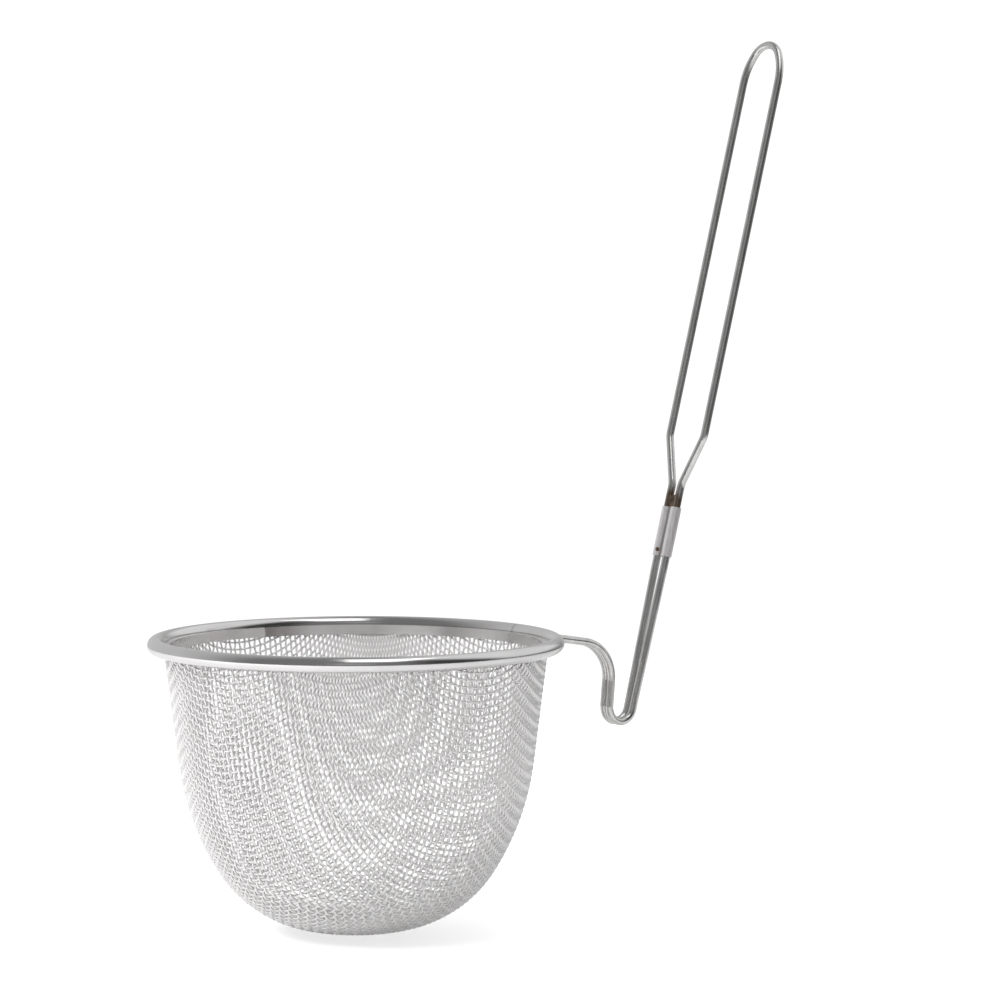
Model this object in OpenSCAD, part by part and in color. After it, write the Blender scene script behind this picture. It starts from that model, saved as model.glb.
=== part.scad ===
// Tea strainer: a deep woven basket in a rolled rim, carried by one bent wire folded into a long loop.
// Origin: middle of the mouth, at the height of the bead centre. +Z is up, the handle leaves toward +X.

/* [Rim] */
// Outside diameter of the rolled rim
rim_outer_d = 84; // [76:1:110]
// Thickness of the round bead that runs around the rim
bead_d = 3.1; // [2.8:0.1:3.6]
// Sheet thickness of the bead and of the inner band
rim_sheet = 0.3; // [0.2:0.05:0.35]
// How far the inner band reaches below the bead centre
band_drop = 2.05; // [1.6:0.05:3.5]
// Width of the butt seam where the ends of a rim strip meet
seam_w = 0.15; // [0.1:0.05:0.3]

/* [Basket] */
// Thickness of the woven cloth, two wires laid over each other
cloth_t = 0.8; // [0.6:0.05:0.85]
// Length of the straight wall under the rim
wall_len = 22.5; // [16:0.5:28]
// How far the wall leans inward, in degrees
wall_taper = 7.1; // [5:0.1:9]
// Radius of the gentle curve below the wall
belly_r = 53.2; // [45:0.5:60]
// Angle the gentle curve turns through
belly_turn = 25.2; // [20:0.5:30]
// Radius of the tight curve that leads into the floor
corner_r = 25.7; // [22:0.5:28]
// Angle the tight curve turns through
corner_turn = 47; // [40:0.5:50]

/* [Handle wire] */
// Diameter of the handle wire
wire_d = 1.65; // [1.4:0.05:1.8]
// Distance between the two runs of wire, centre to centre, from the rim to the hook
pair_pitch = 1.9; // [1.85:0.05:2.4]
// Distance between the two runs where the ferrule holds them
neck_pitch = 3.0; // [2.9:0.05:3.4]
// Height of the wire at the rim, below the bead centre
arm_drop = 0.54; // [0.2:0.02:0.7]
// Downward slope of the arm, in degrees
arm_slope = 9.1; // [4:0.1:14]
// Straight length of the arm
arm_len = 16.8; // [10:0.2:30]
// Radius of the bend that turns the arm downward
arm_bend_r = 8.2; // [6:0.2:12]
// How far the short down leg leans back toward the basket, in degrees
drop_tilt = 5; // [0:0.5:8]
// Straight length of the down leg
drop_len = 5.4; // [2:0.2:15]
// Radius of the hook at the bottom
hook_r = 3.2; // [3:0.1:6]
// How far the handle leans away from the basket, in degrees
handle_lean = 14.9; // [8:0.1:20]

/* [Loop] */
// Width of the loop, centre to centre of the wire
loop_w = 11.6; // [9:0.05:14]
// Angle each leg turns outward where the loop opens
splay = 22; // [18:0.5:28]
// Bend radius where the loop opens
splay_r = 4; // [3:0.5:6]
// Straight length of each leg of the loop
loop_leg = 78.4; // [50:0.2:110]
// Radius of the gentle curve at each side of the top
crown_side_r = 11.3; // [8:0.1:14]
// Angle of the gentle curve at each side of the top
crown_side_turn = 34.4; // [25:0.2:40]

/* [Ferrule] */
// Distance from the end of the hook to the ferrule
ferrule_at = 33.5; // [33:0.1:35]
// Length of the ferrule
ferrule_len = 10.8; // [8:0.1:11]
// Sheet thickness of the ferrule
ferrule_sheet = 0.25; // [0.2:0.05:0.3]
// Half thickness of the ferrule in the groove between the wires
groove_half = 0.55; // [0.45:0.05:0.65]
// Distance from the end of the hook to the point where the legs start to open
neck_end = 48.6; // [48:0.1:50]
// How far the braze between the wires reaches above the ferrule
braze_len = 2.8; // [2:0.1:4]

/* [Hidden] */
$fn = 96;

steel = [0.80, 0.80, 0.81];
bright = [0.86, 0.86, 0.87];
cloth = [0.74, 0.74, 0.75];
tint = [0.33, 0.25, 0.19];

// rim section
bead_r = bead_d / 2;
ring_r = rim_outer_d / 2 - bead_r;
mouth_r = ring_r - bead_r - 0.25;
gap = 0.02;
band_top = 0;
hem_top = band_top - rim_sheet;
hem_low = hem_top - cloth_t;
hem_r = ring_r - 0.6;
bead_seam = 0;
band_seam = 87;
band_out_r = mouth_r - cloth_t;
band_in_r = band_out_r - rim_sheet;

// basket section, curve by curve; each curve starts where the one above it stops
wall_z = -1.8;
h1 = wall_taper;
h2 = h1 + belly_turn;
h3 = h2 + corner_turn;
p1 = [mouth_r - wall_len * sin(h1), wall_z - wall_len * cos(h1)];
c1 = p1 - belly_r * [cos(h1), -sin(h1)];
p2 = c1 + belly_r * [cos(h2), -sin(h2)];
c2 = p2 - corner_r * [cos(h2), -sin(h2)];
p3 = c2 + corner_r * [cos(h3), -sin(h3)];
floor_r = p3[0] / cos(h3);
c3 = p3 - floor_r * [cos(h3), -sin(h3)];

// handle
wire_r = wire_d / 2;
pair_half = pair_pitch / 2;
neck_half = neck_pitch / 2;
loop_half = loop_w / 2;
arm_x = ring_r + 0.55;
arm_turn = 90 + drop_tilt - arm_slope;
hook_turn = 180 + drop_tilt - handle_lean;
crown_top_r = (loop_half - crown_side_r * (1 - cos(crown_side_turn))) / cos(crown_side_turn);
// the runs drift apart between the hook and the ferrule along two wide bends
drift_r = 60;
drift = atan((neck_half - pair_half) / 29);
drift_go = (neck_half - pair_half - 2 * drift_r * (1 - cos(drift))) / sin(drift);
drift_span = 2 * drift_r * sin(drift) + drift_go * cos(drift);
neck_go = neck_end - 1 - drift_span;
splay_go = (loop_half - neck_half - 2 * splay_r * (1 - cos(splay))) / sin(splay);

// moves for the turtle: [straight length] or [bend radius, bend angle], left turns positive
hook_moves = [[arm_len], [arm_bend_r, -arm_turn], [drop_len], [hook_r, hook_turn]];
loop_moves = [
    [1], [drift_r, drift], [drift_go], [drift_r, -drift], [neck_go],
    [splay_r, splay], [splay_go], [splay_r, -splay], [loop_leg],
    [crown_side_r, -crown_side_turn], [crown_top_r, crown_side_turn - 90]
];

// lobes and groove of the ferrule section
lobe_r = wire_r + 0.03 + ferrule_sheet;
dent_r = (neck_half * neck_half + groove_half * groove_half - lobe_r * lobe_r)
    / (2 * (lobe_r - groove_half));
dent_y = groove_half + dent_r;

// spot weld near the lower end of the ferrule, turned from the lobe's crest toward the groove
weld_r = 0.6;
weld_at = 1.3;
weld_depth = lobe_r - 0.42;
weld_turn = 38;

// ---------- helpers

// carries its children to the end of one move
module after(m) {
    if (len(m) == 1) translate([m[0], 0, 0]) children();
    else {
        side = sign(m[1]);
        translate([m[0] * sin(abs(m[1])), side * m[0] * (1 - cos(m[1])), 0]) rotate([0, 0, m[1]]) children();
    }
}

// a round bar along one move
module bar(m, r) {
    if (len(m) == 1) rotate([0, 90, 0]) cylinder(h = m[0], r = r);
    else mirror([0, m[1] < 0 ? 1 : 0, 0])
        translate([0, m[0], 0]) rotate([0, 0, -90])
        rotate_extrude(angle = abs(m[1])) translate([m[0], 0]) circle(r);
}

// a round bar along a list of moves, starting at move i; a hair-thin collar ties each move to the next
module bars(moves, r, i = 0) {
    if (i < len(moves)) {
        bar(moves[i], r);
        after(moves[i]) {
            if (i < len(moves) - 1) collar(r);
            bars(moves, r, i + 1);
        }
    }
}

// collar across the joint between two moves
module collar(r) {
    translate([-0.05, 0, 0]) rotate([0, 90, 0]) cylinder(h = 0.1, r = r + 0.005);
}

// carries its children to the end of a list of moves
module at_end(moves, i = 0) {
    if (i < len(moves)) after(moves[i]) at_end(moves, i + 1) children();
    else children();
}

// frame of the arm: x along the arm, y up, z to the side
module arm_frame() {
    translate([arm_x, 0, -arm_drop]) rotate([90, 0, 0]) rotate([0, 0, -arm_slope]) children();
}

// frame of the loop: x up along the handle, y to the side, z toward the basket
module loop_frame() {
    arm_frame() at_end(hook_moves) rotate([-90, 0, 0]) children();
}

// one run of the handle wire, from the rim to the top of the loop
module wire_run(side, r = wire_r) {
    mirror([0, side < 0 ? 1 : 0, 0]) {
        translate([0, pair_half, 0]) arm_frame() bars(hook_moves, r);
        loop_frame() translate([0, pair_half, 0]) {
            collar(r);
            bars(loop_moves, r);
        }
    }
}

// everything inside one curve of the basket, shrunk by off
module curve(c, r, a, b, off) {
    far = 200;
    intersection() {
        translate(c) circle(r - off, $fn = 180);
        polygon([c, c + far * [cos(a), -sin(a)], c + far * [cos(b), -sin(b)]]);
    }
}

// narrow bar over the line where two curves meet, so that they join into one face
module spoke(c, r, a, off) {
    translate(c) rotate(-a) translate([0, -0.3]) square([r - off - 0.05, 0.6]);
}

// half section of everything inside the basket, shrunk by off
module inside(off, top) {
    edge_r = mouth_r - off;
    q1 = c1 + (belly_r - off) * [cos(h1), -sin(h1)];
    edge_z = q1[1] + (edge_r - q1[0]) / tan(h1);
    intersection() {
        translate([0, -100]) square([60, 100 + top]);
        union() {
            polygon([[-80, top], [edge_r, top], [edge_r, edge_z], q1, c1, [-80, c1[1]]]);
            curve(c1, belly_r, h1, h2, off);
            curve(c2, corner_r, h2, h3, off);
            curve(c3, floor_r, h3, 90, off);
            spoke(c1, belly_r, h1, off);
            spoke(c2, corner_r, h2, off);
            spoke(c2, corner_r, h3, off);
        }
    }
}

// a thin slit through a rim strip, at angle a around the mouth
module seam(a) {
    rotate([0, 0, a]) translate([ring_r - 4, -seam_w / 2, -6]) cube([8, seam_w, 12]);
}

// section of the ferrule, or of its bore when off is the sheet thickness
module ferrule_section(off) {
    tx = neck_half * (1 - lobe_r / (lobe_r + dent_r));
    ty = dent_y * lobe_r / (lobe_r + dent_r);
    difference() {
        union() {
            for (s = [-1, 1]) translate([0, s * neck_half]) circle(lobe_r - off);
            polygon([[ty, tx], [0, neck_half], [-ty, tx], [-ty, -tx], [0, -neck_half], [ty, -tx]]);
        }
        for (s = [-1, 1]) translate([s * dent_y, 0]) circle(dent_r + off);
    }
}

// ---------- sub-parts

module rim_bead() {
    color(bright) difference() {
        rotate_extrude() difference() {
            translate([ring_r, 0]) circle(bead_r);
            translate([ring_r, 0]) circle(bead_r - rim_sheet);
            translate([ring_r - 3, hem_low - gap]) square([3, -hem_low + 2 * gap]);
        }
        seam(bead_seam);
        for (s = [-1, 1]) translate([0, s * pair_half, 0]) arm_frame()
            translate([-1, 0, 0]) bar([6], wire_r + gap);
    }
}

module inner_band() {
    color(bright) difference() {
        rotate_extrude() {
            translate([band_in_r, -band_drop]) square([rim_sheet, band_drop + band_top]);
            translate([band_in_r, hem_top]) square([hem_r - band_in_r, rim_sheet]);
        }
        seam(band_seam);
    }
}

module mesh_basket() {
    color(cloth) rotate_extrude() {
        difference() {
            inside(0, hem_top);
            inside(cloth_t, hem_top + 1);
        }
        translate([mouth_r - cloth_t, hem_low]) square([hem_r - mouth_r + cloth_t, cloth_t]);
    }
}

module handle_wire() {
    color(steel) union() {
        wire_run(1);
        wire_run(-1);
        loop_frame() translate([0, pair_half, 0]) at_end(loop_moves) collar(wire_r);
    }
}

module rim_weld() {
    half_angle = asin((pair_half + 1) / rim_outer_d * 2);
    color(tint) difference() {
        rotate([0, 0, -half_angle]) rotate_extrude(angle = 2 * half_angle) difference() {
            translate([ring_r + bead_r - 0.2, -arm_drop - 0.1]) circle(1.15);
            translate([ring_r, 0]) circle(bead_r);
        }
        for (s = [-1, 1]) translate([0, s * pair_half, 0]) arm_frame() translate([-1, 0, 0]) bar([6], wire_r);
    }
}

module ferrule() {
    color(bright) loop_frame() translate([ferrule_at, 0, 0]) rotate([0, 90, 0])
        linear_extrude(ferrule_len) difference() {
            ferrule_section(0);
            ferrule_section(ferrule_sheet);
        }
}

module ferrule_weld() {
    color(tint) loop_frame() translate([ferrule_at, 0, 0]) difference() {
        translate([weld_at, neck_half - weld_depth * sin(weld_turn), weld_depth * cos(weld_turn)])
            sphere(weld_r);
        rotate([0, 90, 0]) linear_extrude(2 * weld_at) ferrule_section(0);
    }
}

module neck_braze() {
    low = ferrule_at + ferrule_len + gap;
    color(tint) difference() {
        loop_frame() difference() {
            translate([low, -neck_half, -0.6]) cube([braze_len, 2 * neck_half, 1.2]);
            translate([low + braze_len + 0.9, 0, -2]) cylinder(h = 4, r = 1.3);
        }
        wire_run(1);
        wire_run(-1);
    }
}

rim_bead();
inner_band();
mesh_basket();
handle_wire();
rim_weld();
ferrule();
ferrule_weld();
neck_braze();
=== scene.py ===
"""Tea strainer: a woven basket in a rolled rim on a bent wire handle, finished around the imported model."""

import math

import bpy
import numpy as np
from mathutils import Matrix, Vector


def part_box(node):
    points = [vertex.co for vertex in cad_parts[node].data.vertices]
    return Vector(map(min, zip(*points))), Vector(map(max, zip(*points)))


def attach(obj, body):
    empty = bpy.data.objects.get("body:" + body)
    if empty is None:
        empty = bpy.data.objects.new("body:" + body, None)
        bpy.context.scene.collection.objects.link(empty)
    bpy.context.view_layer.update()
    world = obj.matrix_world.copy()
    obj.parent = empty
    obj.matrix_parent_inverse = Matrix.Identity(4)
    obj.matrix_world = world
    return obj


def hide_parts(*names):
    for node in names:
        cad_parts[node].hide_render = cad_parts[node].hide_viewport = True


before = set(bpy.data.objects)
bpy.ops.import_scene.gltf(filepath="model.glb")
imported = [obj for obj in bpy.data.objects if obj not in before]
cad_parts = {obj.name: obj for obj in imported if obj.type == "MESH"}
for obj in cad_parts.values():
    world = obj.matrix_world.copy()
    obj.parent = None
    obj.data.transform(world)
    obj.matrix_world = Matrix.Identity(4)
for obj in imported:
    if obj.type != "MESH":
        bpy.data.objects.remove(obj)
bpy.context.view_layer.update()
MM = 0.001


# ---------- sizes taken from the frame

_, bead_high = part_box("rim_bead")
basket_low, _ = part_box("mesh_basket")
RIM_R = bead_high.y / MM
BEAD_R = bead_high.z / MM
BOTTOM_Z = basket_low.z / MM


# ---------- sizes that repeat the model's own, in millimetres and radians

# how far the handle leans away from the basket
HANDLE_LEAN = math.radians(14.9)
# thickness of the basket's shell, whose middle the cloth follows
CLOTH_T = 0.8
# radius of the mouth, a small gap inside the bead
MOUTH_GAP = 0.25
MOUTH_R = RIM_R - 2 * BEAD_R - MOUTH_GAP
# straight wall, gentle curve and tight curve of the basket's section, from the rim down
WALL_TOP, WALL_LEN, TAPER = -1.8, 22.5, math.radians(7.1)
BELLY_R, BELLY_TURN = 53.2, math.radians(25.2)
CORNER_R, CORNER_TURN = 25.7, math.radians(47)
# height at which the cloth turns outward, its length from there on, and how much of that the bend takes
HEM_Z = -0.7
HEM_LEN = 1.1
HEM_BEND = 0.5


# ---------- the weave, in millimetres and radians

# distance between wires, and radius of a wire
PITCH = 1.42
STRAND_R = 0.225
# direction of the first wire through the middle of the floor
WEAVE_TURN = math.radians(-83.7)
# how far a wire swings off the middle surface at a crossing, as a share of its radius
CRIMP = 0.85
# share by which crossings slip toward an even radial spread, and how stretched that spread is
SLIP = 0.2
SLIP_STRETCH = 1.08
# steps between two crossings, sides of a wire, and the fewest points that make one
SUB = 4
SIDES = 6
MIN_POINTS = 4
# pieces that each family of wires is divided into, to keep every mesh small
CLOTH_GROUPS = 4


# ---------- basket surface

def outward(angle):
    """Unit vector in the half plane (radius, height), angle below the horizontal."""
    return np.array([math.cos(angle), -math.sin(angle)])


def basket_profile(inset, spare=14.0):
    """Points of the basket's half section, and their arc lengths, from the middle of the floor upward.
    The line lies inside the outer surface by inset, and the wall runs on past its top by spare."""
    top = np.array([MOUTH_R, WALL_TOP])
    up = np.array([math.sin(TAPER), math.cos(TAPER)])
    wall_end = top - WALL_LEN * up
    belly_end, corner_end = TAPER + BELLY_TURN, TAPER + BELLY_TURN + CORNER_TURN
    belly = wall_end - BELLY_R * outward(TAPER)
    corner = belly + (BELLY_R - CORNER_R) * outward(belly_end)
    floor_start = corner + CORNER_R * outward(corner_end)
    floor_r = floor_start[0] / math.cos(corner_end)
    floor = floor_start - floor_r * outward(corner_end)
    points = [top + up * t - inset * outward(TAPER) for t in np.linspace(spare, -WALL_LEN, 160)]
    arcs = (
        (belly, BELLY_R, TAPER, belly_end),
        (corner, CORNER_R, belly_end, corner_end),
        (floor, floor_r, corner_end, math.pi / 2),
    )
    for centre, radius, start, end in arcs:
        points += [centre + (radius - inset) * outward(a) for a in np.linspace(start, end, 200)[1:]]
    line = np.array(points)[::-1]
    line[0, 0] = 0.0
    length = np.r_[0, np.cumsum(np.hypot(*np.diff(line, axis=0).T))]
    return line, length


LINE, LENGTH = basket_profile(CLOTH_T / 2)
RIM_S = float(np.interp(HEM_Z, LINE[:, 1], LENGTH))


def surface(s, turn):
    """Point of the cloth's middle surface at arc length s from the pole, at angle turn round the axis."""
    r, z = np.interp(s, LENGTH, LINE[:, 0]), np.interp(s, LENGTH, LINE[:, 1])
    return np.stack([r * np.cos(turn), r * np.sin(turn), z], -1)


def slope(s, step=0.05):
    """Change of radius and of height with arc length."""
    ahead, behind = s + step, s - step
    dr = np.interp(ahead, LENGTH, LINE[:, 0]) - np.interp(behind, LENGTH, LINE[:, 0])
    dz = np.interp(ahead, LENGTH, LINE[:, 1]) - np.interp(behind, LENGTH, LINE[:, 1])
    return dr / (2 * step), dz / (2 * step)


# first guesses of a crossing's arc length, in pitches past its neighbour that is further from the pole
FIRST_GUESSES = np.linspace(-0.3, 1.6, 60)
# Newton steps that follow, the most that one may turn the crossing, and the smallest divisor
NEWTON_STEPS = 12
MAX_TURN = 0.3
SMALLEST_DET = 1e-9
# largest error in a squared distance between crossings that counts as found
MISS_ALLOWED = 0.01


def weave_quarter(pitch, reach=88.0):
    """Crossings of a square weave pressed into the basket without stretching its wires, over one quarter.
    Crossing (i, j) lies one pitch from (i-1, j) and from (i, j-1), on the surface."""
    n = int(reach / pitch) + 1
    S, T = np.full((n, n), np.nan), np.full((n, n), np.nan)
    along = np.arange(n) * pitch
    S[:, 0], T[:, 0] = along, 0.0
    S[0, :], T[0, :] = along, math.pi / 2
    for k in range(2, 2 * n - 1):
        i = np.arange(max(1, k - n + 1), min(n - 1, k - 1) + 1)
        j = k - i
        a, b = surface(S[i - 1, j], T[i - 1, j]), surface(S[i, j - 1], T[i, j - 1])
        c = surface(S[i - 1, j - 1], T[i - 1, j - 1])
        ok = ~np.isnan(a[:, 0] + b[:, 0] + c[:, 0])
        if not ok.any():
            break
        i, j, a, b, c = i[ok], j[ok], a[ok], b[ok], c[ok]
        guess = a + b - c
        turn = np.arctan2(guess[:, 1], guess[:, 0])
        start = np.maximum(S[i - 1, j], S[i, j - 1])
        tries = start[:, None] + FIRST_GUESSES * pitch
        off = ((surface(tries, turn[:, None]) - guess[:, None]) ** 2).sum(-1)
        s = np.take_along_axis(tries, off.argmin(1)[:, None], 1)[:, 0]
        for _ in range(NEWTON_STEPS):
            x, (dr, dz) = surface(s, turn), slope(s)
            r = np.interp(s, LENGTH, LINE[:, 0])
            along_s = np.stack([dr * np.cos(turn), dr * np.sin(turn), dz], -1)
            along_t = np.stack([-r * np.sin(turn), r * np.cos(turn), 0 * r], -1)
            miss_a = ((x - a) ** 2).sum(-1) - pitch ** 2
            miss_b = ((x - b) ** 2).sum(-1) - pitch ** 2
            as_, at = 2 * ((x - a) * along_s).sum(-1), 2 * ((x - a) * along_t).sum(-1)
            bs, bt = 2 * ((x - b) * along_s).sum(-1), 2 * ((x - b) * along_t).sum(-1)
            det = as_ * bt - at * bs
            det = np.where(np.abs(det) < SMALLEST_DET, SMALLEST_DET, det)
            s = s - np.clip((miss_a * bt - miss_b * at) / det, -0.5 * pitch, 0.5 * pitch)
            turn = turn - np.clip((as_ * miss_b - bs * miss_a) / det, -MAX_TURN, MAX_TURN)
        good = (np.abs(miss_a) < MISS_ALLOWED) & (np.abs(miss_b) < MISS_ALLOWED) & (s < LENGTH[-1])
        S[i[good], j[good]], T[i[good], j[good]] = s[good], turn[good]
    return S, T


def weave_crossings():
    """Arc length and angle of every crossing, with the middle of the floor at index (mid, mid).
    The pressed weave is moved a little toward an even radial spread, as wires slip when cloth is drawn."""
    S, T = weave_quarter(PITCH)
    n = S.shape[0]
    i, j = np.meshgrid(np.arange(n), np.arange(n), indexing="ij")
    S = (1 - SLIP) * S + SLIP * SLIP_STRETCH * np.hypot(i, j) * PITCH
    T = (1 - SLIP) * T + SLIP * np.arctan2(j, i)
    big_s = np.full((2 * n - 1, 2 * n - 1), np.nan)
    big_t = np.full_like(big_s, np.nan)
    mid = n - 1
    for quarter in range(4):
        a, b = i, j
        for _ in range(quarter):
            a, b = -b, a
        big_s[mid + a, mid + b] = S
        big_t[mid + a, mid + b] = T + quarter * math.pi / 2
    return big_s, big_t, mid


def cloth_point(s, turn, lift):
    """Point on the cloth, lifted off the middle surface, and the direction of the lift.
    Past the rim the cloth turns outward into the slot."""
    inside = np.minimum(s, RIM_S)
    x = surface(inside, turn)
    dr, dz = slope(inside)
    over = np.maximum(s - RIM_S, 0)
    bend = np.clip(over / HEM_BEND, 0, 1) * math.pi / 2
    out = np.stack([np.cos(turn), np.sin(turn), 0 * turn], -1)
    rise = np.stack([0 * turn, 0 * turn, 1 + 0 * turn], -1)
    x = x + out * over[..., None]
    flat_n = np.cos(bend)[..., None] * (out * dz[..., None] - rise * dr[..., None])
    normal = flat_n - np.sin(bend)[..., None] * rise
    return x + normal * lift[..., None], normal


# ---------- woven wires

def wire_paths(S, T, mid, flip):
    """Every wire of one family as (points, normals), crimped over and under the other family."""
    paths = []
    n = S.shape[0]
    for row in range(n):
        s, t = (S[row], T[row]) if not flip else (S[:, row], T[:, row])
        known = np.where(~np.isnan(s) & (s < RIM_S + HEM_LEN + 2 * PITCH))[0]
        if len(known) < MIN_POINTS:
            continue
        lo, hi = known[0], known[-1]
        s, t = s[lo:hi + 1], t[lo:hi + 1]
        if np.isnan(s).any():
            continue
        nodes = np.stack([s * np.cos(t), s * np.sin(t)], -1)
        count = len(s)
        at = np.arange((count - 1) * SUB + 1) / SUB
        k = np.clip(np.floor(at).astype(int), 0, count - 2)
        f = (at - k)[:, None]
        before, after = nodes[np.maximum(k - 1, 0)], nodes[np.minimum(k + 2, count - 1)]
        p1, p2 = nodes[k], nodes[k + 1]
        flat = 0.5 * (2 * p1 + (p2 - before) * f + (2 * before - 5 * p1 + 4 * p2 - after) * f ** 2
                      + (3 * p1 - before - 3 * p2 + after) * f ** 3)
        arc, angle = np.hypot(flat[:, 0], flat[:, 1]), np.arctan2(flat[:, 1], flat[:, 0]) + WEAVE_TURN
        phase = (row - mid) + (lo - mid) + at
        lift = STRAND_R * CRIMP * np.cos(math.pi * phase) * (-1 if flip else 1)
        keep = arc <= RIM_S + HEM_LEN
        if keep.sum() < MIN_POINTS:
            continue
        first, last = np.where(keep)[0][[0, -1]]
        pick = slice(first, last + 1)
        paths.append(cloth_point(arc[pick], angle[pick], lift[pick]))
    return paths


def tubes(name, paths, radius, material, node):
    """One mesh of open tubes along the paths, shaded round, with their faces pointing outward."""
    verts, faces, base = [], [], 0
    ring = np.arange(SIDES) * 2 * math.pi / SIDES
    for points, normals in paths:
        tangent = np.gradient(points, axis=0)
        tangent /= np.linalg.norm(tangent, axis=1)[:, None]
        side = np.cross(tangent, normals)
        side /= np.linalg.norm(side, axis=1)[:, None]
        over = np.cross(side, tangent)
        m = len(points)
        circle = (np.cos(ring)[None, :, None] * over[:, None] + np.sin(ring)[None, :, None] * side[:, None])
        verts.append((points[:, None] + radius * circle).reshape(-1, 3))
        a = base + np.arange(m - 1)[:, None] * SIDES + np.arange(SIDES)[None, :]
        b = base + np.arange(m - 1)[:, None] * SIDES + (np.arange(SIDES)[None, :] + 1) % SIDES
        faces.append(np.stack([a, b, b + SIDES, a + SIDES], -1).reshape(-1, 4))
        base += m * SIDES
    v, f = np.concatenate(verts) * MM, np.concatenate(faces)
    mesh = bpy.data.meshes.new(name)
    mesh.vertices.add(len(v))
    mesh.vertices.foreach_set("co", v.ravel())
    mesh.loops.add(f.size)
    mesh.loops.foreach_set("vertex_index", f.ravel())
    mesh.polygons.add(len(f))
    mesh.polygons.foreach_set("loop_start", np.arange(len(f)) * 4)
    mesh.polygons.foreach_set("use_smooth", np.ones(len(f), bool))
    mesh.update(calc_edges=True)
    mesh.validate()
    mesh.materials.append(material)
    piece = bpy.data.objects.new(name, mesh)
    bpy.context.scene.collection.objects.link(piece)
    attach(piece, "root")
    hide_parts(node)


# ---------- materials

# painted dark reflection beside the band's seam, and the width of its sharp edge in half turns
DARK_REFLECTION = (0.22, 0.20, 0.19)
EDGE = 0.002
# brown heat tint on the wire: how far from the braze it fades, how ragged its edge is, and its depth
TINT = (0.20, 0.13, 0.08)
TINT_REACH = (0.0042, 0.0052)
TINT_RAGGED = 0.004
TINT_DEPTH = 0.85
# painted shade in the ferrule's groove: its middle, how far aside it fades, and its depth
GROOVE_SHADE = (0.12, 0.11, 0.11)
GROOVE_AT = 0.0001
GROOVE_REACH = (0.00015, 0.0005)
GROOVE_DEPTH = 0.85


def new_material(name):
    """New metal and what its nodes need: (material, nodes, links, shader, place on the object)."""
    mat = bpy.data.materials.new(name)
    mat.use_nodes = True
    nodes, links = mat.node_tree.nodes, mat.node_tree.links
    shader = nodes["Principled BSDF"]
    shader.inputs["Metallic"].default_value = 1.0
    coords = nodes.new("ShaderNodeTexCoord")
    return mat, nodes, links, shader, coords.outputs["Object"]


def mapped(nodes, links, source, scale, turn):
    """Coordinates turned and scaled, to stretch a pattern along one direction."""
    m = nodes.new("ShaderNodeMapping")
    m.inputs["Scale"].default_value = scale
    m.inputs["Rotation"].default_value = turn
    links.new(source, m.inputs["Vector"])
    return m.outputs["Vector"]


def noise(nodes, links, source, scale, detail=4.0, rough=0.55):
    """Smooth random value from 0 to 1."""
    n = nodes.new("ShaderNodeTexNoise")
    n.inputs["Scale"].default_value = scale
    n.inputs["Detail"].default_value = detail
    n.inputs["Roughness"].default_value = rough
    links.new(source, n.inputs["Vector"])
    return n.outputs["Fac"]


def ramp(nodes, links, source, stops):
    """Colour or value ramp; stops are (position, colour or grey)."""
    r = nodes.new("ShaderNodeValToRGB")
    points = r.color_ramp.elements
    while len(points) < len(stops):
        points.new(0.5)
    for point, (place, colour) in zip(points, stops):
        point.position = place
        point.color = (*colour, 1) if isinstance(colour, tuple) else (colour, colour, colour, 1)
    links.new(source, r.inputs["Fac"])
    return r.outputs["Color"]


def feed(links, socket, value):
    """Sets a socket to a number, or to a colour without its alpha, or links it to another socket."""
    if isinstance(value, tuple):
        socket.default_value = (*value, 1)
    elif isinstance(value, float):
        socket.default_value = value
    else:
        links.new(value, socket)


def mix(nodes, links, kind, factor, a, b):
    """Mix of two values or colours; kind is FLOAT or RGBA."""
    m = nodes.new("ShaderNodeMix")
    m.data_type = kind
    links.new(factor, m.inputs["Factor"])
    feed(links, m.inputs["A"], a)
    feed(links, m.inputs["B"], b)
    return m.outputs["Result"]


def map_range(nodes, links, source, low, high, to_low=0.0, to_high=1.0, curve="LINEAR"):
    """Value brought from low..high to to_low..to_high, and held beyond them."""
    span = nodes.new("ShaderNodeMapRange")
    span.interpolation_type = curve
    for socket, value in (("From Min", low), ("From Max", high), ("To Min", to_low), ("To Max", to_high)):
        span.inputs[socket].default_value = value
    links.new(source, span.inputs["Value"])
    return span.outputs[0]


def maths(nodes, links, operation, *values):
    """Result of one sum; each value is a number or a socket."""
    m = nodes.new("ShaderNodeMath")
    m.operation = operation
    for socket, value in zip(m.inputs, values):
        feed(links, socket, value)
    return m.outputs[0]


def vector_maths(nodes, links, operation, source, other=None, result="Value"):
    """Result of one sum on vectors; other is a fixed vector."""
    m = nodes.new("ShaderNodeVectorMath")
    m.operation = operation
    links.new(source, m.inputs[0])
    if other is not None:
        m.inputs[1].default_value = other
    return m.outputs[result]


def separated(nodes, links, source):
    """The X, Y and Z of a vector."""
    split = nodes.new("ShaderNodeSeparateXYZ")
    links.new(source, split.inputs["Vector"])
    return split.outputs["X"], split.outputs["Y"], split.outputs["Z"]


def bump(nodes, links, shader, height, strength, distance):
    """Fine relief on a shader, from a height between 0 and 1; distance is in metres."""
    b = nodes.new("ShaderNodeBump")
    b.inputs["Strength"].default_value = strength
    b.inputs["Distance"].default_value = distance
    links.new(height, b.inputs["Height"])
    links.new(b.outputs["Normal"], shader.inputs["Normal"])


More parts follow.
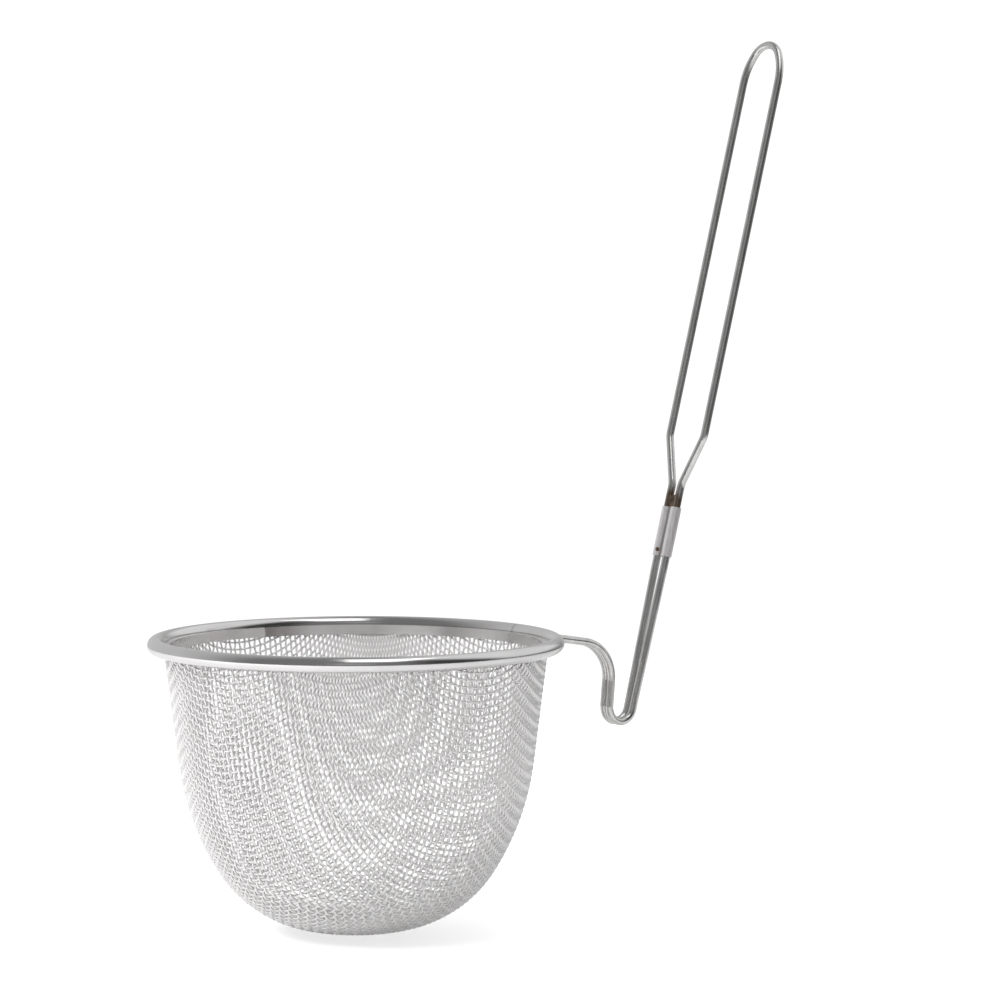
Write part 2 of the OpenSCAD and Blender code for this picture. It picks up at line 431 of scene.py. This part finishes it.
def rim_material(name, colour_low, colour_high, rough_low, rough_high, lines, dark_reflection=None):
    """Polished rolled sheet with fine turning lines round the mouth, rubbed a little dull in places.
    A painted dark reflection beside the seam is (degrees round the mouth of its sharp edge, degrees where it
    has faded, depth)."""
    mat, nodes, links, shader, pos = new_material(name)
    clouds = noise(nodes, links, pos, scale=90.0)
    tone = ramp(nodes, links, clouds, [(0.3, colour_low), (0.75, colour_high)])
    rub = noise(nodes, links, pos, scale=260.0, detail=5.0)
    links.new(ramp(nodes, links, rub, [(0.3, rough_low), (0.8, rough_high)]), shader.inputs["Roughness"])
    x, y, z = separated(nodes, links, pos)
    flat = vector_maths(nodes, links, "MULTIPLY", pos, (1, 1, 0), result="Vector")
    join = nodes.new("ShaderNodeCombineXYZ")
    links.new(vector_maths(nodes, links, "LENGTH", flat), join.inputs["X"])
    links.new(z, join.inputs["Y"])
    turning = noise(nodes, links, join.outputs[0], scale=lines, detail=3.0)
    bump(nodes, links, shader, turning, strength=0.08, distance=0.00004)
    # painted dark reflection: the colour darkens toward a sharp edge beside the band's seam
    if dark_reflection:
        start, end, depth = dark_reflection
        half_turns = map_range(nodes, links, maths(nodes, links, "ARCTAN2", y, x), 0, math.pi)
        fade = ramp(nodes, links, half_turns, [
            (end / 180, 0.0), (start / 180 - EDGE, depth), (start / 180, 0.0)])
        tone = mix(nodes, links, "RGBA", fade, tone, DARK_REFLECTION)
    links.new(tone, shader.inputs["Base Color"])
    return mat


def wire_material(name):
    """Drawn bright wire: streaks along its length, and a brown tint where the neck was heated."""
    mat, nodes, links, shader, pos = new_material(name)
    along = mapped(nodes, links, pos, scale=(900, 900, 28), turn=(0, -HANDLE_LEAN, 0))
    streak = noise(nodes, links, along, scale=1.0, detail=5.0)
    steel = ramp(nodes, links, streak, [(0.3, (0.56, 0.555, 0.55)), (0.7, (0.74, 0.735, 0.73))])
    neck_low, neck_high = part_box("neck_braze")
    away = vector_maths(nodes, links, "DISTANCE", pos, (neck_low + neck_high) / 2)
    patches = noise(nodes, links, pos, scale=500.0)
    wobble = maths(nodes, links, "MULTIPLY_ADD", patches, TINT_RAGGED, away)
    heat = map_range(nodes, links, wobble, *TINT_REACH, TINT_DEPTH, 0.0)
    colour = mix(nodes, links, "RGBA", heat, steel, TINT)
    links.new(colour, shader.inputs["Base Color"])
    links.new(ramp(nodes, links, streak, [(0.25, 0.20), (0.8, 0.28)]), shader.inputs["Roughness"])
    bump(nodes, links, shader, streak, strength=0.08, distance=0.00001)
    return mat


def ferrule_material(name):
    """Thin crimped sheet, satin, with marks of the crimping tool along it and painted shade in the groove.
    """
    mat, nodes, links, shader, pos = new_material(name)
    shader.inputs["Metallic"].default_value = 0.8
    along = mapped(nodes, links, pos, scale=(1500, 1500, 60), turn=(0, -HANDLE_LEAN, 0))
    marks = noise(nodes, links, along, scale=1.0, detail=4.0)
    tone = ramp(nodes, links, marks, [(0.3, (0.62, 0.60, 0.605)), (0.7, (0.76, 0.74, 0.745))])
    # painted shade: the colour darkens along the middle of the groove between the crimp's lobes
    _, y, _ = separated(nodes, links, pos)
    aside = maths(nodes, links, "ABSOLUTE", maths(nodes, links, "ADD", y, -GROOVE_AT))
    groove = map_range(nodes, links, aside, *GROOVE_REACH, GROOVE_DEPTH, 0.0)
    tone = mix(nodes, links, "RGBA", groove, tone, GROOVE_SHADE)
    links.new(tone, shader.inputs["Base Color"])
    links.new(ramp(nodes, links, marks, [(0.3, 0.32), (0.8, 0.46)]), shader.inputs["Roughness"])
    bump(nodes, links, shader, marks, strength=0.2, distance=0.00004)
    return mat


def scorched_material(name, dark, light, rough):
    """Braze and weld metal: a lumpy surface, brown and grey from the heat."""
    mat, nodes, links, shader, pos = new_material(name)
    blot = noise(nodes, links, pos, scale=900.0, detail=6.0, rough=0.65)
    links.new(ramp(nodes, links, blot, [(0.35, dark), (0.7, light)]), shader.inputs["Base Color"])
    shader.inputs["Metallic"].default_value = 0.8
    links.new(ramp(nodes, links, blot, [(0.3, rough), (0.8, rough + 0.2)]), shader.inputs["Roughness"])
    bump(nodes, links, shader, blot, strength=0.5, distance=0.00008)
    return mat


def cloth_material(name):
    """Fine drawn wire, a little duller where the press rubbed it."""
    mat, nodes, links, shader, pos = new_material(name)
    shader.inputs["Metallic"].default_value = 0.7
    clouds = noise(nodes, links, pos, scale=60.0, detail=3.0)
    tone = ramp(nodes, links, clouds, [(0.3, (0.77, 0.76, 0.76)), (0.7, (0.85, 0.84, 0.84))])
    links.new(tone, shader.inputs["Base Color"])
    links.new(ramp(nodes, links, clouds, [(0.3, 0.34), (0.8, 0.42)]), shader.inputs["Roughness"])
    grain = noise(nodes, links, pos, scale=2500.0, detail=2.0)
    bump(nodes, links, shader, grain, strength=0.1, distance=0.00002)
    return mat


BRIGHT = rim_material("bright_sheet", (0.68, 0.67, 0.67), (0.75, 0.74, 0.74), 0.13, 0.20, 3000.0)
# the band's colour carries a painted dark reflection beside its seam
BAND = rim_material("band_sheet", (0.66, 0.65, 0.645), (0.78, 0.77, 0.765), 0.12, 0.22, 5000.0,
                    dark_reflection=(87, 70, 0.85))
WIRE = wire_material("drawn_wire")
FERRULE = ferrule_material("crimped_sheet")
BRAZE = scorched_material("braze_metal", (0.035, 0.022, 0.014), (0.16, 0.11, 0.075), 0.35)
WELD = scorched_material("weld_metal", (0.25, 0.21, 0.18), (0.55, 0.53, 0.50), 0.3)
CLOTH = cloth_material("cloth_wire")

FINISH = {
    "rim_bead": BRIGHT,
    "inner_band": BAND,
    "handle_wire": WIRE,
    "rim_weld": WELD,
    "ferrule": FERRULE,
    "ferrule_weld": BRAZE,
    "neck_braze": BRAZE,
}
for node_name, finish in FINISH.items():
    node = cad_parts[node_name]
    node.data.materials.clear()
    node.data.materials.append(finish)


# ---------- the woven basket

def build_cloth():
    """Both families of wires, each divided into a few pieces side by side."""
    S, T, mid = weave_crossings()
    for family, flip in (("warp", False), ("weft", True)):
        paths = wire_paths(S, T, mid, flip)
        size = math.ceil(len(paths) / CLOTH_GROUPS)
        for g in range(CLOTH_GROUPS):
            tubes(f"cloth_{family}_{g + 1}", paths[g * size:(g + 1) * size], STRAND_R, CLOTH,
                  "mesh_basket")


build_cloth()


# ---------- camera, floor and light

CAMERA_AT = (-0.3884, -0.5822, 0.0734)
CAMERA_TURN = math.radians(-36)
CAMERA_TILT = math.radians(90 - 3.557)
LENS, SENSOR = 126.6, 36.0
# directions seen from the camera: to its right, and level back toward it
RIGHT = Vector((0.8090, -0.5878, 0))
NEAR = Vector((-0.5878, -0.8090, 0))
TABLE_R = 0.5
# glow of the table for all rays but the camera's, and for the camera's
FLOOR_GLOW = (0.06, 0.5)
# brightness of the world as the camera sees it
BACKDROP = 1.05
# brightness of the mirrored room where it is dim, and at its lit wall
ROOM, LIT_WALL = 0.20, 0.62
# brightness that dull surfaces get from the right, and from the left
SHADE_SIDE, LIGHT_SIDE = 0.55, 1.4
# heights of a direction between which the mirrored window fades in
HORIZON = (-0.02, 0.12)


def add_camera():
    """Camera a little above the rim, looking slightly down through a long lens."""
    data = bpy.data.cameras.new("camera")
    data.lens, data.sensor_width = LENS, SENSOR
    cam = bpy.data.objects.new("camera", data)
    cam.location = CAMERA_AT
    cam.rotation_euler = (CAMERA_TILT, 0, CAMERA_TURN)
    data.clip_start, data.clip_end = 0.01, 20
    bpy.context.scene.collection.objects.link(cam)
    bpy.context.scene.camera = cam


def add_floor():
    """Round white table. It glows more for the camera than for the steel, so that no shadow greys it."""
    bpy.ops.mesh.primitive_circle_add(vertices=128, radius=TABLE_R, fill_type="NGON",
                                      location=(0, 0, BOTTOM_Z * MM))
    floor = bpy.context.active_object
    floor.name = "floor"
    mat = bpy.data.materials.new("floor_paper")
    mat.use_nodes = True
    nodes, links = mat.node_tree.nodes, mat.node_tree.links
    shader = nodes["Principled BSDF"]
    shader.inputs["Base Color"].default_value = (0.55, 0.55, 0.55, 1)
    shader.inputs["Roughness"].default_value = 0.9
    shader.inputs["Specular IOR Level"].default_value = 0.1
    shader.inputs["Emission Color"].default_value = (1, 1, 1, 1)
    path = nodes.new("ShaderNodeLightPath")
    glow = map_range(nodes, links, path.outputs["Is Camera Ray"], 0.0, 1.0, *FLOOR_GLOW)
    links.new(glow, shader.inputs["Emission Strength"])
    floor.data.materials.append(mat)


def add_softbox(name, right, near, height, size, radiance, mirrored=True):
    """Level softbox facing down, with its sides along RIGHT and NEAR. The steel mirrors it or not."""
    data = bpy.data.lights.new(name, "AREA")
    data.shape = "RECTANGLE"
    data.size, data.size_y = size
    data.energy = radiance * math.pi * size[0] * size[1]
    lamp = bpy.data.objects.new(name, data)
    lamp.location = right * RIGHT + near * NEAR + Vector((0, 0, height))
    lamp.rotation_euler = (0, 0, CAMERA_TURN)
    lamp.visible_glossy = mirrored
    bpy.context.scene.collection.objects.link(lamp)


def facing(nodes, links, source, toward, start, end, low, high):
    """Value that runs from low to high as a direction comes from start to end degrees off the given one."""
    dot = vector_maths(nodes, links, "DOT_PRODUCT", source, toward.normalized())
    outer, inner = math.cos(math.radians(start)), math.cos(math.radians(end))
    return map_range(nodes, links, dot, outer, inner, low, high, curve="SMOOTHSTEP")


def mirrored_room(nodes, links, turned):
    """What the steel mirrors: a dim room with a lit wall, a window, a small light and a dark flag."""
    _, _, height = separated(nodes, links, turned)
    above = map_range(nodes, links, height, *HORIZON)
    window_at = 0.87 * RIGHT - 0.5 * NEAR + Vector((0, 0, 0.7))
    window = facing(nodes, links, turned, window_at, 50, 26, 0.0, 0.65)
    light_at = NEAR + Vector((0, 0, 0.38))
    flag_at = 0.47 * NEAR + 0.88 * RIGHT + Vector((0, 0, 0.3))
    room = facing(nodes, links, turned, -NEAR - 0.9 * RIGHT, 84, 12, ROOM, LIT_WALL)
    for part in (
        maths(nodes, links, "MULTIPLY", window, above),
        facing(nodes, links, turned, light_at, 17, 6, 0.0, 0.15),
        facing(nodes, links, turned, flag_at, 34, 14, 0.0, -0.15),
    ):
        room = maths(nodes, links, "ADD", room, part)
    return room


def add_world():
    """White for the camera, light mostly from the left for dull surfaces, and a room for mirrors."""
    world = bpy.data.worlds.new("studio")
    bpy.context.scene.world = world
    world.use_nodes = True
    nodes, links = world.node_tree.nodes, world.node_tree.links
    back = nodes["Background"]
    back.inputs["Color"].default_value = (1, 1, 1, 1)
    turned = nodes.new("ShaderNodeTexCoord").outputs["Generated"]
    path = nodes.new("ShaderNodeLightPath")
    dull = facing(nodes, links, turned, -RIGHT, 150, 30, SHADE_SIDE, LIGHT_SIDE)
    room = mirrored_room(nodes, links, turned)
    lit = mix(nodes, links, "FLOAT", path.outputs["Is Glossy Ray"], dull, room)
    seen = mix(nodes, links, "FLOAT", path.outputs["Is Camera Ray"], lit, BACKDROP)
    links.new(seen, back.inputs["Strength"])


add_camera()
add_floor()
add_world()
add_softbox("softbox", right=0.16, near=0.33, height=0.8, size=(0.42, 0.8), radiance=1.5)
add_softbox("left_box", right=-0.5, near=0.3, height=0.5, size=(0.5, 0.5), radiance=12.0, mirrored=False)
bpy.context.scene.view_settings.view_transform = "Standard"
